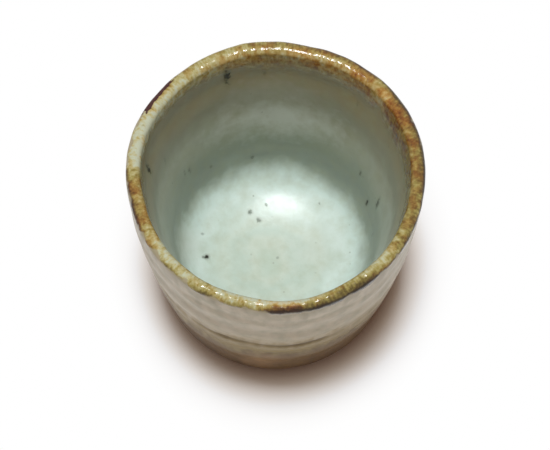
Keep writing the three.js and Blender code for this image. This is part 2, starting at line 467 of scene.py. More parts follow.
def coat_section(first, last, under, thickness_at, hidden=0):
    """A coat's closed half section over part of the covered line, with its corners.

    Other coats cover its first points, as many as hidden says, and these are thinned.
    """
    top = raised(covered_line, lambda point: under + thickness_at(point))
    top = thinned(top[first:first + hidden]) + top[first + hidden:last + 1]
    low = thinned(raised(covered_line, lambda point: under)[first:last + 1])
    section = top + low[::-1]
    corners = {len(top) - 1, len(top)}
    if section[0].x > 0:
        corners |= {0, len(section) - 1, len(section)}
        section.append(section[0].copy())
    return section, corners


def slip_thickness(point):
    return SLIP_THICKNESS


def glaze_thickness(point):
    return GLAZE_THICKNESS


def dipped_thickness(point):
    """The outer glaze is thicker where it stopped running."""
    roll = math.exp(-((point.y - GLAZE_LINE) / GLAZE_ROLL_HEIGHT) ** 2)
    return GLAZE_THICKNESS + GLAZE_ROLL * roll


# Wheel: one Geometry Nodes tree turns any half section and gives it the marks of the hand

# What a section's points carry: sharp corners, the way a loose edge slides, depth of the tool lines,
# share of the lip's roll, and 0 on the lip's inner face to 1 on its outer face
SECTION_MARKS = [
    ("corner", "BOOLEAN"),
    ("slide", "FLOAT_VECTOR"),
    ("tool_line", "FLOAT"),
    ("roll", "FLOAT"),
    ("outer_face", "FLOAT"),
]


def section_mesh(name, section, corners, wander_height=None):
    """The half section as a line of points that carry what the wheel needs to know."""
    mesh = bpy.data.meshes.new(name)
    edges = [(i, i + 1) for i in range(len(section) - 1)]
    mesh.from_pydata([(p.x * MM, 0, p.y * MM) for p in section], edges, [])
    for mark, kind in SECTION_MARKS:
        mesh.attributes.new(mark, kind, "POINT")
    corner, slide, line, roll, outer_face = (mesh.attributes[mark] for mark, _ in SECTION_MARKS)
    for i, point in enumerate(section):
        corner.data[i].value = i in corners
        outer_face.data[i].value = smoothstep(point.x, *LIP_FACES)
        inwards = smoothstep(MOUTH_RADIUS - LIP_WIDTH / 2 - point.x, -LIP_WIDTH, LIP_WIDTH)
        roll.data[i].value = inwards * (1 - smoothstep(BODY_HEIGHT - point.y, *LIP_ROLL_FADE))
        is_outside = point.x > outer_radius(point.y) - LIP_WIDTH / 2 and point.y < band_outside
        if is_outside:
            line.data[i].value = sum(
                depth * math.exp(-((point.y - height) / TOOL_LINE_WIDTH) ** 2) for height, depth in TOOL_LINES
            )
        if is_outside and wander_height is not None:
            loose = 1 - smoothstep(point.y, wander_height, wander_height + LOOSE_EDGE_HEIGHT)
            slope = (outer_radius(point.y + 1) - outer_radius(point.y)) * loose
            slide.data[i].vector = (slope, 0, loose)
    return mesh


def waves(tree, angle, terms):
    """Sum of the lobes that a list of terms asks for, in metres."""
    total = 0.0
    for lobes, reach, towards in terms:
        lead = -lobes * math.radians(towards)
        phase = add(tree, "ShaderNodeMath", {0: angle, 1: lobes, 2: lead}, operation="MULTIPLY_ADD")
        lobe = add(tree, "ShaderNodeMath", {0: phase}, operation="COSINE")
        total = add(tree, "ShaderNodeMath", {0: lobe, 1: reach * MM, 2: total}, operation="MULTIPLY_ADD")
    return total


def wheel_sockets(tree):
    """The wheel's inputs, which it gives back, and its output."""
    face = tree.interface
    face.new_socket("Section", in_out="INPUT", socket_type="NodeSocketGeometry")
    for name, kind, value in (
        ("Turn steps", "NodeSocketInt", TURN_STEPS),
        ("Section points", "NodeSocketInt", None),
        ("Lump reach", "NodeSocketFloat", LUMP_REACH * MM),
        ("Edge wander", "NodeSocketFloat", EDGE_WANDER * MM),
        ("Material", "NodeSocketMaterial", None),
    ):
        socket = face.new_socket(name, in_out="INPUT", socket_type=kind)
        if value is not None:
            socket.default_value = value
    face.new_socket("Piece", in_out="OUTPUT", socket_type="NodeSocketGeometry")
    return add(tree, "NodeGroupInput", out=None)


def section_sheet(tree, given):
    """A flat sheet: one row for each section point, one column for each step of the turn.

    Gives the sheet, the angle of a column, and the place and the marks of a row's section point.
    """
    columns = add(tree, "ShaderNodeMath", {0: given["Turn steps"], 1: 1.0}, operation="ADD")
    sheet = add(
        tree, "GeometryNodeMeshGrid", {"Vertices X": given["Section points"], "Vertices Y": columns},
    )
    index = add(tree, "GeometryNodeInputIndex")
    row = add(tree, "ShaderNodeMath", {0: index, 1: columns}, operation="DIVIDE")
    row = add(tree, "ShaderNodeMath", {0: row}, operation="FLOOR")
    column = add(tree, "ShaderNodeMath", {0: index, 1: columns}, operation="FLOORED_MODULO")
    turn = add(tree, "ShaderNodeMath", {0: column, 1: given["Turn steps"]}, operation="DIVIDE")
    angle = add(tree, "ShaderNodeMath", {0: turn, 1: 2 * math.pi}, operation="MULTIPLY")
    place = add(
        tree, "GeometryNodeSampleIndex",
        {"Geometry": given["Section"], "Value": add(tree, "GeometryNodeInputPosition"), "Index": row},
        data_type="FLOAT_VECTOR",
    )
    carried = {}
    for name, kind in SECTION_MARKS:
        field = add(tree, "GeometryNodeInputNamedAttribute", {"Name": name}, data_type=kind)
        carried[name] = add(
            tree, "GeometryNodeSampleIndex",
            {"Geometry": given["Section"], "Value": field, "Index": row}, data_type=kind,
        )
    return sheet, angle, place, carried


def hand_made(tree, given, angle, place, carried):
    """Where the sheet's points come to lie on the uneven cup, and how deep the tool cut there."""
    # Unevenness that depends on the turn and the height, so that coats stay on each other
    cosine = add(tree, "ShaderNodeMath", {0: angle}, operation="COSINE")
    sine = add(tree, "ShaderNodeMath", {0: angle}, operation="SINE")
    around = add(tree, "ShaderNodeCombineXYZ", {"X": cosine, "Y": sine})
    height = add(tree, "ShaderNodeSeparateXYZ", {0: place}, out="Z")
    at_wall = add(tree, "ShaderNodeVectorMath", {0: around, "Scale": MOUTH_RADIUS * MM}, operation="SCALE")
    lift = add(tree, "ShaderNodeCombineXYZ", {"Z": height})
    at_wall = add(tree, "ShaderNodeVectorMath", {0: at_wall, 1: lift}, operation="ADD")
    wander = add(tree, "ShaderNodeTexNoise", {"Vector": around, "Scale": EDGE_WAVES, "Detail": 3.0})
    lumps, pinch, shake = (
        add(tree, "ShaderNodeTexNoise", {"Vector": at_wall, "Scale": 1 / (size * MM), "Detail": detail})
        for size, detail in ((LUMP_SIZE, 1.0), (LIP_LUMP_SIZE, 1.0), (TOOL_SHAKE_SIZE, 2.0))
    )

    # Loose coat edges slide along the wall
    loose = add(tree, "ShaderNodeMath", {0: wander, 1: -0.5}, operation="ADD")
    loose = add(tree, "ShaderNodeMath", {0: loose, 1: given["Edge wander"]}, operation="MULTIPLY")
    slid = add(tree, "ShaderNodeVectorMath", {0: carried["slide"], "Scale": loose}, operation="SCALE")
    place = add(tree, "ShaderNodeVectorMath", {0: place, 1: slid}, operation="ADD")
    split = add(tree, "ShaderNodeSeparateXYZ", {0: place}, out=None)
    radius, height = split["X"], split["Z"]
    rise = add(tree, "ShaderNodeMapRange", {"Value": height, "From Max": BODY_HEIGHT * MM})

    # Out of round, more so towards the lip, and lumpy above the foot
    stray = waves(tree, angle, OUT_OF_ROUND)
    for towards, width, reach in LEANS:
        facing = waves(tree, angle, [(1, 1 / MM, towards)])
        lean = add(
            tree, "ShaderNodeMapRange",
            {"Value": facing, "From Min": math.cos(math.radians(width)), "To Max": reach * MM},
            interpolation_type="SMOOTHSTEP",
        )
        stray = add(tree, "ShaderNodeMath", {0: stray, 1: lean}, operation="ADD")
    high = add(tree, "ShaderNodeMath", {0: rise, 1: 2.0}, operation="POWER")
    stray = add(tree, "ShaderNodeMath", {0: stray, 1: high}, operation="MULTIPLY")
    lump = add(tree, "ShaderNodeMath", {0: lumps, 1: -0.5}, operation="ADD")
    lump = add(tree, "ShaderNodeMath", {0: lump, 1: given["Lump reach"]}, operation="MULTIPLY")
    low, full = LUMPS_START
    free = add(tree, "ShaderNodeMapRange", {"Value": rise, "From Min": low, "From Max": full})
    stray = add(tree, "ShaderNodeMath", {0: lump, 1: free, 2: stray}, operation="MULTIPLY_ADD")
    outwards = add(tree, "ShaderNodeMath", {0: radius, 1: MOUTH_RADIUS * MM}, operation="DIVIDE")
    new_radius = add(tree, "ShaderNodeMath", {0: stray, 1: outwards, 2: radius}, operation="MULTIPLY_ADD")

    # Small dents from the fingers that closed the lip
    near_lip = add(
        tree, "ShaderNodeMapRange",
        {"Value": rise, "From Min": LIP_LUMPS_START, "To Max": LIP_LUMP_REACH * MM},
    )
    pinch = add(tree, "ShaderNodeMath", {0: pinch, 1: -0.5}, operation="ADD")
    pinch = add(tree, "ShaderNodeMath", {0: pinch, 1: near_lip}, operation="MULTIPLY")
    new_radius = add(tree, "ShaderNodeMath", {0: new_radius, 1: pinch}, operation="ADD")

    # The inside of the lip is rolled thicker, from nothing at the front to the whole reach at the back
    backwards = waves(tree, angle, [(1, LIP_ROLL / 2, 90)])
    backwards = add(tree, "ShaderNodeMath", {0: backwards, 1: LIP_ROLL / 2 * MM}, operation="ADD")
    rolled = add(tree, "ShaderNodeMath", {0: carried["roll"], 1: backwards}, operation="MULTIPLY")
    new_radius = add(tree, "ShaderNodeMath", {0: new_radius, 1: rolled}, operation="SUBTRACT")

    # Tool lines cut with an unsteady hand
    firm = add(tree, "ShaderNodeMapRange", {"Value": shake, "From Min": 0.34, "From Max": 0.66})
    facing = waves(tree, angle, [(1, 1 / MM, TOOL_PRESSED_TOWARDS)])
    far, near = TOOL_PRESSED_ARC
    pressed = add(
        tree, "ShaderNodeMapRange",
        {"Value": facing, "From Min": far, "From Max": near, "To Min": TOOL_LIGHT_SHARE},
    )
    firm = add(tree, "ShaderNodeMath", {0: firm, 1: pressed}, operation="MULTIPLY")
    cut = add(tree, "ShaderNodeMath", {0: carried["tool_line"], 1: firm}, operation="MULTIPLY")
    new_radius = add(tree, "ShaderNodeMath", {0: cut, 1: -MM, 2: new_radius}, operation="MULTIPLY_ADD")

    # The lip rises and falls, and the rings climb as the wheel turns
    crest = add(tree, "ShaderNodeMath", {0: rise, 1: 4.0}, operation="POWER")
    wave = waves(tree, angle, LIP_WAVE)
    half_turn = add(tree, "ShaderNodeMath", {0: rise, 1: math.pi}, operation="MULTIPLY")
    middle = add(tree, "ShaderNodeMath", {0: half_turn}, operation="SINE")
    middle = add(tree, "ShaderNodeMath", {0: middle, 1: outwards}, operation="MULTIPLY")
    tilt = waves(tree, angle, [(1, RING_TILT, RING_TILT_TOWARDS)])
    new_height = add(tree, "ShaderNodeMath", {0: wave, 1: crest, 2: height}, operation="MULTIPLY_ADD")
    new_height = add(tree, "ShaderNodeMath", {0: tilt, 1: middle, 2: new_height}, operation="MULTIPLY_ADD")
    new_height = add(tree, "ShaderNodeMath", {0: new_height, 1: pinch}, operation="ADD")
    spun = add(tree, "ShaderNodeVectorMath", {0: around, "Scale": new_radius}, operation="SCALE")
    lift = add(tree, "ShaderNodeCombineXYZ", {"Z": new_height})
    return add(tree, "ShaderNodeVectorMath", {0: spun, 1: lift}, operation="ADD"), cut


def wheel_tree():
    """Turns the half section round the axis, then strays from the true form as a potter's hand does."""
    tree = bpy.data.node_groups.new("potters_wheel", "GeometryNodeTree")
    given = wheel_sockets(tree)
    piece, angle, place, carried = section_sheet(tree, given)
    spun, cut = hand_made(tree, given, angle, place, carried)

    # Marks kept for the materials and the shading, before the sheet is rolled up
    for name, kind, value in (
        ("corner", "BOOLEAN", carried["corner"]),
        ("tool_line", "FLOAT", cut),
        ("outer_face", "FLOAT", carried["outer_face"]),
        ("thrown_place", "FLOAT_VECTOR", spun),
    ):
        piece = add(
            tree, "GeometryNodeStoreNamedAttribute", {"Geometry": piece, "Name": name, "Value": value},
            data_type=kind,
        )
    rolled = add(
        tree, "GeometryNodeInputNamedAttribute", {"Name": "thrown_place"}, data_type="FLOAT_VECTOR",
    )
    piece = add(tree, "GeometryNodeSetPosition", {"Geometry": piece, "Position": rolled})
    piece = add(tree, "GeometryNodeRemoveAttribute", {"Geometry": piece, "Name": "thrown_place"})
    piece = add(tree, "GeometryNodeMergeByDistance", {"Geometry": piece, "Distance": WELD_DISTANCE})
    sharp = add(tree, "GeometryNodeInputNamedAttribute", {"Name": "corner"}, data_type="BOOLEAN")
    piece = add(
        tree, "GeometryNodeSetShadeSmooth", {"Geometry": piece, "Selection": sharp, "Shade Smooth": False},
        domain="EDGE",
    )
    piece = add(tree, "GeometryNodeRealizeInstances", {"Geometry": piece})
    piece = add(tree, "GeometryNodeSetMaterial", {"Geometry": piece, "Material": given["Material"]})
    add(tree, "NodeGroupOutput", {"Piece": piece}, out=None)
    return tree


def thrown(name, node, slot, section, corners, material, wheel, wander_height=None):
    """Turns a section on the wheel into a plain mesh that stands for a node of the part."""
    line = section_mesh(name, section, corners, wander_height)
    worker = bpy.data.objects.new(name + "_section", line)
    bpy.context.scene.collection.objects.link(worker)
    modifier = worker.modifiers.new("wheel", "NODES")
    modifier.node_group = wheel
    sockets = {item.name: item.identifier for item in wheel.interface.items_tree if item.in_out == "INPUT"}
    modifier[sockets["Section points"]] = len(section)
    modifier[sockets["Material"]] = material
    evaluated = worker.evaluated_get(bpy.context.evaluated_depsgraph_get())
    mesh = bpy.data.meshes.new_from_object(evaluated)
    mesh.name = name
    bpy.data.objects.remove(worker)
    bpy.data.meshes.remove(line)
    piece = bpy.data.objects.new(name, mesh)
    bpy.context.scene.collection.objects.link(piece)
    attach(piece, "root")
    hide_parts(node)
    return piece


# Materials


def near_spots(tree, place, frayed, spots, far, near):
    """How much of the strongest spot a place has. Distances count in the spot's own half sizes."""
    total = 0.0
    for *centre, across, tall, strength in spots:
        away = add(tree, "ShaderNodeVectorMath", {0: place, 1: centre}, operation="SUBTRACT")
        away = add(tree, "ShaderNodeVectorMath", {0: away, 1: (across, across, tall)}, operation="DIVIDE")
        away = add(tree, "ShaderNodeVectorMath", {0: away}, out="Value", operation="LENGTH")
        away = add(tree, "ShaderNodeMath", {0: away, 1: frayed}, operation="ADD")
        amount = add(
            tree, "ShaderNodeMapRange",
            {"Value": away, "From Min": far, "From Max": near, "To Max": strength},
        )
        total = add(tree, "ShaderNodeMath", {0: total, 1: amount}, operation="MAXIMUM")
    return total


def place_on_cup(tree, outside):
    """Where a shaded point lies, in millimetres.

    Turn is its share of the way round and depth its way down from the lip. Side is 1 inside and -1
    outside, so across counts its way over the lip, and along its way along the whole section.
    """
    place = add(tree, "ShaderNodeTexCoord", out="Object")
    place = add(tree, "ShaderNodeVectorMath", {0: place, "Scale": 1 / MM}, operation="SCALE")
    x, y, height = add(tree, "ShaderNodeSeparateXYZ", {0: place}, out=None)
    level = add(tree, "ShaderNodeVectorMath", {0: place, 1: (1, 1, 0)}, operation="MULTIPLY")
    radius = add(tree, "ShaderNodeVectorMath", {0: level}, out="Value", operation="LENGTH")
    angle = add(tree, "ShaderNodeMath", {0: y, 1: x}, operation="ARCTAN2")
    turn = add(tree, "ShaderNodeMapRange", {"Value": angle, "From Min": -math.pi, "From Max": math.pi})
    depth = add(tree, "ShaderNodeMath", {0: LIP_TOP, 1: height}, operation="SUBTRACT")
    side = add(tree, "ShaderNodeMath", {0: outside, 1: -2.0, 2: 1.0}, operation="MULTIPLY_ADD")
    across = add(tree, "ShaderNodeMath", {0: side, 1: depth}, operation="MULTIPLY")
    along = add(tree, "ShaderNodeMath", {0: across, 1: radius}, operation="SUBTRACT")
    return SimpleNamespace(
        outside=outside, place=place, height=height, level=level, radius=radius, turn=turn, depth=depth,
        side=side, across=across, along=along,
    )


def glaze_noise(tree, at):
    """Noise at the sizes that the glaze shows, all over the cup or stretched into runs down the wall."""
    heading = add(tree, "ShaderNodeVectorMath", {0: at.level}, operation="NORMALIZE")
    run_along = add(tree, "ShaderNodeMath", {0: at.along, 1: RUN_STRETCH}, operation="MULTIPLY")
    run_along = add(tree, "ShaderNodeCombineXYZ", {"Z": run_along})
    run_place = add(tree, "ShaderNodeVectorMath", {0: heading, "Scale": MOUTH_RADIUS}, operation="SCALE")
    run_place = add(tree, "ShaderNodeVectorMath", {0: run_place, 1: run_along}, operation="ADD")
    noise = SimpleNamespace()
    for name, vector, size, detail in (
        ("cloud", at.place, CLOUD_SIZE, 3.0),
        ("stain", at.place, STAIN_SIZE, 4.0),
        ("mottle", at.place, MOTTLE_SIZE, 3.0),
        ("peel", at.place, PEEL_SIZE, 2.0),
        ("facet", at.place, FACET_SIZE, 0.5),
        ("run", run_place, RUN_WIDTH, 3.0),
        ("wide_run", run_place, WIDE_RUN_WIDTH, 1.5),
    ):
        inputs = {"Vector": vector, "Scale": 1 / size, "Detail": detail, "Roughness": 0.55}
        setattr(noise, name, add(tree, "ShaderNodeTexNoise", inputs))
    noise.patch = add(
        tree, "ShaderNodeMapRange", {"Value": noise.stain, "From Min": 0.4, "From Max": 0.6},
    )
    return noise


def face_colour(tree, at, noise):
    """The glaze's colour along each face, with painted shade where the floor turns into the wall and towards
    the foot outside, which clouds and drips shift.
    """
    drift = add(
        tree, "ShaderNodeMath", {0: noise.cloud, 1: CLOUD_SHIFT, 2: -CLOUD_SHIFT / 2},
        operation="MULTIPLY_ADD",
    )
    from_centre = add(tree, "ShaderNodeVectorMath", {0: at.level, 1: INSIDE_COLOURS_CENTRE}, operation="SUBTRACT")
    from_centre = add(tree, "ShaderNodeVectorMath", {0: from_centre}, out="Value", operation="LENGTH")
    inner = add(tree, "ShaderNodeMath", {0: at.height, 1: from_centre}, operation="ADD")
    inner = add(tree, "ShaderNodeMath", {0: inner, 1: INSIDE_START}, operation="SUBTRACT")
    inner = add(tree, "ShaderNodeMath", {0: inner, 1: 1 / INSIDE_PATH, 2: drift}, operation="MULTIPLY_ADD")
    inner = add(tree, "ShaderNodeValToRGB", {"Fac": inner}, stops=INSIDE_COLOURS_AND_SHADE)
    drift = add(tree, "ShaderNodeMath", {0: drift, 1: OUTSIDE_CLOUD_SHARE}, operation="MULTIPLY")
    drip = add(
        tree, "ShaderNodeMath", {0: noise.wide_run, 1: DRIP_SHIFT, 2: drift}, operation="MULTIPLY_ADD",
    )
    drip = add(tree, "ShaderNodeMath", {0: drip, 1: DRIP_SHIFT / 2}, operation="SUBTRACT")
    outer = add(tree, "ShaderNodeMath", {0: at.height, 1: 1 / LIP_TOP, 2: drip}, operation="MULTIPLY_ADD")
    outer = add(tree, "ShaderNodeValToRGB", {"Fac": outer}, stops=OUTSIDE_COLOURS_AND_SHADE)
    return add(tree, "ShaderNodeMix", {0: at.outside, 6: inner, 7: outer}, out=2, data_type="RGBA")


def wall_layers(tree, at, noise):
    """Olive stains, grey runs down the wall, and glaze that pools grey in the tool lines."""
    stained = add(tree, "ShaderNodeMapRange", {"Value": noise.stain, "From Min": 0.42, "From Max": 0.72})
    deep, shallow = STAIN_DEPTHS
    faint, strong = STAIN_AMOUNTS
    shown = add(
        tree, "ShaderNodeMapRange",
        {"Value": at.depth, "From Min": deep, "From Max": shallow, "To Min": faint, "To Max": strong},
    )
    stained = add(tree, "ShaderNodeMath", {0: stained, 1: shown}, operation="MULTIPLY")
    grey, brown = BROWN_DEPTHS
    low = add(tree, "ShaderNodeMapRange", {"Value": at.depth, "From Min": grey, "From Max": brown})
    low = add(tree, "ShaderNodeMath", {0: low, 1: at.outside}, operation="MULTIPLY")
    stain_colour = add(
        tree, "ShaderNodeMix", {0: low, 6: linear(STAIN_COLOUR), 7: linear(LOW_STAIN_COLOUR)},
        out=2, data_type="RGBA",
    )
    streaked = add(
        tree, "ShaderNodeMapRange",
        {"Value": noise.wide_run, "From Min": 0.4, "From Max": 0.7, "To Max": STREAK_AMOUNT},
    )
    floor, wall = WALL_RADII
    at_wall = add(tree, "ShaderNodeMapRange", {"Value": at.radius, "From Min": floor, "From Max": wall})
    at_wall = add(tree, "ShaderNodeMath", {0: at_wall, 1: low}, operation="SUBTRACT", use_clamp=True)
    streaked = add(tree, "ShaderNodeMath", {0: streaked, 1: at_wall}, operation="MULTIPLY")
    line = add(tree, "ShaderNodeAttribute", out="Fac", attribute_name="tool_line")
    pooled = add(
        tree, "ShaderNodeMapRange",
        {"Value": line, "From Min": 0.08, "From Max": 0.38, "To Max": TOOL_POOL_AMOUNT},
    )
    return [
        (stained, stain_colour), (streaked, linear(STREAK_COLOUR)), (pooled, linear(TOOL_POOL_COLOUR)),
    ]


def iron_band(tree, at, noise):
    """The iron on the lip: how far it covers the glaze, and its colour."""
    shares = []
    for tables in ((LIP_IRON_INSIDE, LIP_IRON_OUTSIDE), (LIP_RUST_INSIDE, LIP_RUST_OUTSIDE)):
        inner, outer = (
            add(tree, "ShaderNodeValToRGB", {"Fac": at.turn}, stops=[(d / 360 + 0.5, n) for d, n in table])
            for table in tables
        )
        share = add(tree, "ShaderNodeMix", {0: at.outside, 6: inner, 7: outer}, out=2, data_type="RGBA")
        shares.append(share)
    iron, rust_share = shares

    # Colour by the amount of iron, darker on the outer edge, partly as painted shade where the lip curves
    # away, and by how rusty it is
    crest, edge = OUTER_LINE_START
    outer_line = add(
        tree, "ShaderNodeMapRange",
        {"Value": at.across, "From Min": crest, "From Max": edge, "To Max": OUTER_LINE},
    )
    tone = add(tree, "ShaderNodeMath", {0: iron, 1: outer_line, 2: iron}, operation="MULTIPLY_ADD")
    for mark, amount in ((noise.mottle, MOTTLE_AMOUNT), (noise.patch, PATCH_AMOUNT), (noise.run, RUN_AMOUNT)):
        tone = add(tree, "ShaderNodeMath", {0: mark, 1: amount, 2: tone}, operation="MULTIPLY_ADD")
    middle = (MOTTLE_AMOUNT + PATCH_AMOUNT + RUN_AMOUNT) / 2
    tone = add(tree, "ShaderNodeMath", {0: tone, 1: middle}, operation="SUBTRACT")
    olive = add(tree, "ShaderNodeValToRGB", {"Fac": tone}, stops=OLIVE_COLOURS)
    rust = add(tree, "ShaderNodeValToRGB", {"Fac": tone}, stops=RUST_COLOURS)
    rusty = add(
        tree, "ShaderNodeMath", {0: noise.patch, 1: RUST_SWAY, 2: rust_share}, operation="MULTIPLY_ADD",
    )
    rusty = add(tree, "ShaderNodeMath", {0: rusty, 1: RUST_SWAY / 2}, operation="SUBTRACT")
    colour = add(tree, "ShaderNodeMix", {0: rusty, 6: olive, 7: rust}, out=2, data_type="RGBA")

    # Reach down each face, with a ragged end
    least, by_iron, by_rust = INSIDE_REACH
    inside = add(tree, "ShaderNodeMath", {0: rust_share, 1: by_rust, 2: by_iron}, operation="MULTIPLY_ADD")
    inside = add(tree, "ShaderNodeMath", {0: iron, 1: inside, 2: least}, operation="MULTIPLY_ADD")
    least, by_iron = OUTSIDE_REACH
    outside = add(tree, "ShaderNodeMath", {0: iron, 1: by_iron, 2: least}, operation="MULTIPLY_ADD")
    reach = add(tree, "ShaderNodeMix", {0: at.outside, 2: inside, 3: outside})
    ragged = add(
        tree, "ShaderNodeMath", {0: noise.wide_run, 1: REACH_SWAY, 2: at.depth}, operation="MULTIPLY_ADD",
    )
    ragged = add(tree, "ShaderNodeMath", {0: ragged, 1: REACH_SWAY / 2}, operation="SUBTRACT")
    covered = add(tree, "ShaderNodeMath", {0: ragged, 1: reach}, operation="DIVIDE")
    covered = add(
        tree, "ShaderNodeMapRange", {"Value": covered, "From Min": 1.2, "From Max": 0.6},
        interpolation_type="SMOOTHSTEP",
    )
    return covered, colour


def soft_layers(tree, at, noise):
    """Pale clouds inside, partly a painted reflection and painted light, and clay that blushes through by the
    foot outside.
    """
    frayed = add(
        tree, "ShaderNodeMath", {0: noise.stain, 1: CLOUD_FRAY, 2: -CLOUD_FRAY / 2},
        operation="MULTIPLY_ADD",
    )
    pale_and_sheen = near_spots(tree, at.place, frayed, PALE_CLOUDS_AND_SHEEN, *CLOUD_EDGE)
    pale_and_sheen = add(tree, "ShaderNodeMath", {0: pale_and_sheen, 1: at.side}, operation="MULTIPLY", use_clamp=True)
    blush = near_spots(tree, at.place, frayed, BLUSHES, *BLUSH_EDGE)
    blush = add(tree, "ShaderNodeMath", {0: blush, 1: at.outside}, operation="MULTIPLY")
    return [(pale_and_sheen, linear(PALE_AND_SHEEN_COLOUR)), (blush, linear(BLUSH_COLOUR))]


def iron_specks(tree, at, noise):
    """Iron specks, and their olive halos together with the dust."""
    grain = add(tree, "ShaderNodeTexVoronoi", {"Vector": at.place, "Scale": 1 / DUST_SPACING}, out=None)
    dust = add(
        tree, "ShaderNodeMapRange",
        {"Value": grain["Distance"], "From Min": 1.3 * DUST_SHARE, "From Max": 0.7 * DUST_SHARE},
    )
    picked = add(tree, "ShaderNodeSeparateXYZ", {0: grain["Color"]}, out="X")
    picked = add(
        tree, "ShaderNodeMapRange",
        {"Value": picked, "From Min": 0.6, "From Max": 1.0, "To Max": DUST_AMOUNT},
    )
    dust = add(tree, "ShaderNodeMath", {0: dust, 1: picked}, operation="MULTIPLY")
    frayed = add(
        tree, "ShaderNodeMath", {0: noise.peel, 1: SPECK_FRAY, 2: -SPECK_FRAY / 2},
        operation="MULTIPLY_ADD",
    )
    speck = near_spots(tree, at.place, frayed, SPECKS, *SPECK_EDGE)
    halo = near_spots(tree, at.place, frayed, SPECKS, *HALO_EDGE)
    halo = add(tree, "ShaderNodeMath", {0: halo, 1: HALO_AMOUNT, 2: dust}, operation="MULTIPLY_ADD")
    return speck, halo


def lip_knock(tree, at, noise):
    """A knock on the outer edge of the lip that shows the clay."""
    low, high = SCAR_TURN
    turned = add(
        tree, "ShaderNodeMapRange", {"Value": at.turn, "From Min": low, "From Max": high, "To Max": math.pi},
    )
    knocked = add(tree, "ShaderNodeMath", {0: turned}, operation="SINE")
    for value, (none, whole) in ((at.radius, SCAR_RADIUS), (at.depth, SCAR_DEPTH)):
        part = add(tree, "ShaderNodeMapRange", {"Value": value, "From Min": none, "From Max": whole})
        knocked = add(tree, "ShaderNodeMath", {0: knocked, 1: part}, operation="MULTIPLY")
    knocked = add(
        tree, "ShaderNodeMath", {0: noise.mottle, 1: SCAR_CHIPPING, 2: knocked}, operation="MULTIPLY_ADD",
    )
    return add(tree, "ShaderNodeMapRange", {"Value": knocked, "From Min": 1.05, "From Max": 1.2})


def fired_glaze_group():
    """Colour, roughness and relief of the fired glazes, shared so that they run into each other.

    Outside is 0 on the inner face and 1 on the outer face of the wall.
    """
    tree = bpy.data.node_groups.new("fired_glaze", "ShaderNodeTree")
    tree.interface.new_socket("Outside", in_out="INPUT", socket_type="NodeSocketFloat")
    tree.interface.new_socket("Colour", in_out="OUTPUT", socket_type="NodeSocketColor")
    tree.interface.new_socket("Roughness", in_out="OUTPUT", socket_type="NodeSocketFloat")
    tree.interface.new_socket("Relief", in_out="OUTPUT", socket_type="NodeSocketFloat")
    at = place_on_cup(tree, add(tree, "NodeGroupInput", out="Outside"))
    noise = glaze_noise(tree, at)
    covered, iron_colour = iron_band(tree, at, noise)
    speck, halo = iron_specks(tree, at, noise)
    knocked = lip_knock(tree, at, noise)

    # Each layer of colour lies over those before it
    colour = face_colour(tree, at, noise)
    for amount, tint in (
        *wall_layers(tree, at, noise),
        (covered, iron_colour),
        *soft_layers(tree, at, noise),
        (halo, linear(HALO_COLOUR)),
        (speck, linear(SPECK_COLOUR)),
        (knocked, linear(SCAR_COLOUR)),
    ):
        colour = add(tree, "ShaderNodeMix", {0: amount, 6: colour, 7: tint}, out=2, data_type="RGBA")

    facets = add(
        tree, "ShaderNodeMath", {0: noise.run, 1: FACET_RUNS, 2: noise.facet}, operation="MULTIPLY_ADD",
    )
    facets = add(tree, "ShaderNodeMath", {0: facets, 1: covered}, operation="MULTIPLY")
    relief = 0.0
    for mark, amount in (
        (noise.stain, STAIN_RELIEF), (noise.peel, PEEL_RELIEF), (speck, SPECK_RELIEF), (facets, FACET_RELIEF),
    ):
        relief = add(tree, "ShaderNodeMath", {0: mark, 1: amount, 2: relief}, operation="MULTIPLY_ADD")
    rough = GLAZE_ROUGHNESS
    for mark, amount in (
        (noise.stain, STAIN_ROUGHNESS), (covered, IRON_ROUGHNESS), (speck, SPECK_ROUGHNESS),
        (knocked, SCAR_ROUGHNESS),
    ):
        rough = add(tree, "ShaderNodeMath", {0: mark, 1: amount, 2: rough}, operation="MULTIPLY_ADD")
    add(tree, "NodeGroupOutput", {"Colour": colour, "Roughness": rough, "Relief": relief}, out=None)
    return tree


def new_finish(name):
    """An empty material and its tree, to fill with nodes."""
    material = bpy.data.materials.new(name)
    material.use_nodes = True
    material.node_tree.nodes.clear()
    return material, material.node_tree


def glaze(name, group, shine, outside=None):
    """Stoneware glaze: a glassy coat fired on, with a hard clear shine over a cloudy body.

    Outside tells the face of the wall. Where it isn't given, the piece's own mark tells it.
    """
    material, tree = new_finish(name)
    if outside is None:
        outside = add(tree, "ShaderNodeAttribute", out="Fac", attribute_name="outer_face")
    fired = add(tree, "ShaderNodeGroup", {"Outside": outside}, out=None, node_tree=group)
    bump = add(tree, "ShaderNodeBump", {"Height": fired["Relief"], "Distance": MM, "Strength": 1.0})
    shader = add(
        tree, "ShaderNodeBsdfPrincipled",
        {
            "Base Color": fired["Colour"], "Roughness": fired["Roughness"], "IOR": GLAZE_IOR,
            "Specular IOR Level": shine, "Normal": bump,
        },
    )
    add(tree, "ShaderNodeOutputMaterial", {"Surface": shader}, out=None)
    return material


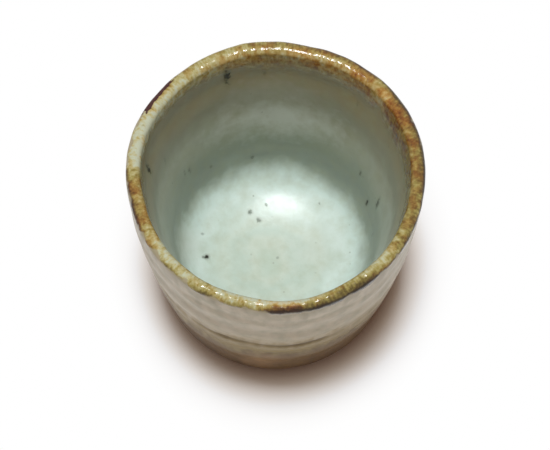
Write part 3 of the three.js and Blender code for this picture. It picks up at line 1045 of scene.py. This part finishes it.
def matt_fired(name, low, high, grit, grit_amount):
    """Bare fired clay or slip: dry and gritty, with the fine lines of the turning tool."""
    material, tree = new_finish(name)
    place = add(tree, "ShaderNodeTexCoord", out="Object")
    place = add(tree, "ShaderNodeVectorMath", {0: place, "Scale": 1 / MM}, operation="SCALE")
    blush = add(tree, "ShaderNodeTexNoise", {"Vector": place, "Scale": 1 / STAIN_SIZE, "Detail": 4.0})
    level = add(tree, "ShaderNodeVectorMath", {0: place, 1: (1, 1, 0)}, operation="MULTIPLY")
    radius = add(tree, "ShaderNodeVectorMath", {0: level}, out="Value", operation="LENGTH")
    height = add(tree, "ShaderNodeSeparateXYZ", {0: place}, out="Z")
    tool_path = add(tree, "ShaderNodeMath", {0: radius, 1: height}, operation="ADD")
    turned = add(
        tree, "ShaderNodeTexNoise", {"W": tool_path, "Scale": 1 / TURNING_PITCH, "Detail": 2.0},
        noise_dimensions="1D",
    )
    grain = add(tree, "ShaderNodeTexVoronoi", {"Vector": place, "Scale": 1 / GRIT_SPACING}, out="Distance")
    grain = add(
        tree, "ShaderNodeMapRange",
        {"Value": grain, "From Min": 0.32, "From Max": 0.2, "To Max": grit_amount},
    )
    tone = add(tree, "ShaderNodeMath", {0: turned, 1: 0.35, 2: -0.17}, operation="MULTIPLY_ADD")
    tone = add(tree, "ShaderNodeMath", {0: blush, 1: tone}, operation="ADD")
    tone = add(tree, "ShaderNodeMapRange", {"Value": tone, "From Min": 0.3, "From Max": 0.7})
    colour = add(tree, "ShaderNodeMix", {0: tone, 6: linear(low), 7: linear(high)}, out=2, data_type="RGBA")
    colour = add(tree, "ShaderNodeMix", {0: grain, 6: colour, 7: linear(grit)}, out=2, data_type="RGBA")
    relief = 0.0
    for mark, amount in ((turned, TURNING_RELIEF), (grain, GRIT_RELIEF), (blush, UNEVEN_RELIEF)):
        relief = add(tree, "ShaderNodeMath", {0: mark, 1: amount, 2: relief}, operation="MULTIPLY_ADD")
    bump = add(tree, "ShaderNodeBump", {"Height": relief, "Distance": MM, "Strength": 1.0})
    rough = add(
        tree, "ShaderNodeMath", {0: blush, 1: MATT_ROUGHNESS_SWAY, 2: MATT_ROUGHNESS},
        operation="MULTIPLY_ADD",
    )
    shader = add(tree, "ShaderNodeBsdfPrincipled", {"Base Color": colour, "Roughness": rough, "Normal": bump})
    add(tree, "ShaderNodeOutputMaterial", {"Surface": shader}, out=None)
    return material


# Stage


def seen_directly(tree):
    """1 for rays that show the background itself: straight, mirrored or through glass."""
    ray = add(tree, "ShaderNodeLightPath", out=None)
    seen = ray["Is Camera Ray"]
    for kind in ("Is Glossy Ray", "Is Transmission Ray"):
        seen = add(tree, "ShaderNodeMath", {0: seen, 1: ray[kind]}, operation="MAXIMUM")
    return seen


def paper_floor():
    """White paper that keeps the cup's real shadow near the foot, under a painted glow that is plain white
    further out and painted a warm shadow colour at its inner edge.
    """
    mesh = bpy.data.meshes.new("floor")
    corners = [(-FLOOR_REACH, -FLOOR_REACH, 0), (FLOOR_REACH, -FLOOR_REACH, 0)]
    corners += [(FLOOR_REACH, FLOOR_REACH, 0), (-FLOOR_REACH, FLOOR_REACH, 0)]
    mesh.from_pydata(corners, [], [(0, 1, 2, 3)])
    floor = bpy.data.objects.new("floor", mesh)
    bpy.context.scene.collection.objects.link(floor)
    material, tree = new_finish("white_paper")
    place = add(tree, "ShaderNodeTexCoord", out="Object")
    middle = Vector(PAPER_CENTRE) * MM
    away = add(tree, "ShaderNodeVectorMath", {0: place, 1: middle}, operation="SUBTRACT")
    right, left = (
        add(tree, "ShaderNodeVectorMath", {0: away, 1: stretch}, operation="MULTIPLY")
        for stretch in (PAPER_STRETCH, PAPER_STRETCH_LEFT)
    )
    away = add(tree, "ShaderNodeVectorMath", {0: right, 1: left}, operation="MINIMUM")
    away = add(tree, "ShaderNodeVectorMath", {0: away}, out="Value", operation="LENGTH")
    low, high = PAPER_FADE
    away = add(
        tree, "ShaderNodeMapRange", {"Value": away, "From Min": low * MM, "From Max": high * MM},
        interpolation_type="SMOOTHSTEP",
    )
    # Painted light: the glow covers the outer shadow, and near the foot it carries a painted warm shadow
    # colour
    bright = add(tree, "ShaderNodeMath", {0: away, 1: seen_directly(tree)}, operation="MULTIPLY")
    paper = add(tree, "ShaderNodeBsdfDiffuse", {"Color": linear(PAPER_COLOUR)})
    painted_shadow_tint = add(tree, "ShaderNodeMapRange", {"Value": away, "From Max": SHADOW_WARM_SHARE})
    painted_shadow_tint = add(
        tree, "ShaderNodeMix", {0: painted_shadow_tint, 6: linear(PAINTED_SHADOW_COLOUR), 7: (1, 1, 1, 1)},
        out=2, data_type="RGBA",
    )
    painted_glow = add(tree, "ShaderNodeEmission", {"Color": painted_shadow_tint, "Strength": 1.0})
    mixed = add(tree, "ShaderNodeMixShader", {0: bright, 1: paper, 2: painted_glow})
    add(tree, "ShaderNodeOutputMaterial", {"Surface": mixed}, out=None)
    mesh.materials.append(material)


def studio():
    """One overhead softbox, a weak warm fill from the room, and the camera."""
    scene = bpy.context.scene
    lamp = bpy.data.lights.new("softbox", "AREA")
    lamp.shape = "RECTANGLE"
    lamp.size, lamp.size_y = SOFTBOX_SIZE
    lamp.energy = SOFTBOX_WATTS
    lamp.color = SOFTBOX_COLOUR
    softbox = bpy.data.objects.new("softbox", lamp)
    softbox.location = SOFTBOX_PLACE
    scene.collection.objects.link(softbox)

    world = bpy.data.worlds.new("room")
    world.use_nodes = True
    tree = world.node_tree
    tree.nodes.clear()
    warm = add(tree, "ShaderNodeBackground", {"Color": linear(FILL_COLOUR), "Strength": FILL_STRENGTH})
    white = add(tree, "ShaderNodeBackground", {"Color": (1, 1, 1, 1), "Strength": 1.0})
    mixed = add(tree, "ShaderNodeMixShader", {0: seen_directly(tree), 1: warm, 2: white})
    add(tree, "ShaderNodeOutputWorld", {"Surface": mixed}, out=None)
    scene.world = world

    camera = bpy.data.cameras.new("camera")
    camera.lens = CAMERA_LENS
    camera.sensor_width = CAMERA_SENSOR
    camera.clip_start = CAMERA_NEAREST * MM
    eye = bpy.data.objects.new("camera", camera)
    rise = math.radians(CAMERA_ELEVATION)
    aim = Vector(CAMERA_AIM) * MM
    eye.location = aim + CAMERA_DISTANCE * MM * Vector((0, -math.cos(rise), math.sin(rise)))
    eye.rotation_euler = (math.radians(90) - rise, 0, 0)
    scene.collection.objects.link(eye)
    scene.camera = eye
    scene.view_settings.view_transform = "Standard"


def build():
    wheel = wheel_tree()
    group = fired_glaze_group()
    thrown(
        "poured_glaze", "inside_glaze", "inside_glaze",
        *coat_section(0, inside_end, OVER_SLIP, glaze_thickness),
        glaze("ash_glaze_inside", group, INSIDE_SHINE, outside=0), wheel,
    )
    thrown(
        "iron_lip", "lip_iron_glaze", "lip_iron_glaze",
        *coat_section(inside_end, outside_start, OVER_SLIP, glaze_thickness),
        glaze("iron_glaze_lip", group, LIP_SHINE), wheel,
    )
    thrown(
        "dipped_glaze", "outside_glaze", "outside_glaze",
        *coat_section(outside_start, glaze_end, OVER_SLIP, dipped_thickness),
        glaze("ash_glaze_outside", group, OUTSIDE_SHINE, outside=1), wheel, GLAZE_LINE,
    )
    slip_end = len(covered_line) - 1
    thrown(
        "slip_coat", "white_slip", "white_slip",
        *coat_section(0, slip_end, BOND_GAP, slip_thickness, hidden=glaze_end - SLIP_FINE_POINTS),
        matt_fired("iron_stained_slip", *STAINED_SLIP_COLOURS, SLIP_GRIT), wheel, SLIP_LINE,
    )
    thrown(
        "thrown_clay", "clay_body", "bare_clay", thinned(covered_line) + foot_line(), set(),
        matt_fired("iron_stoneware", *CLAY_COLOURS, CLAY_GRIT), wheel,
    )
    paper_floor()
    studio()


build()
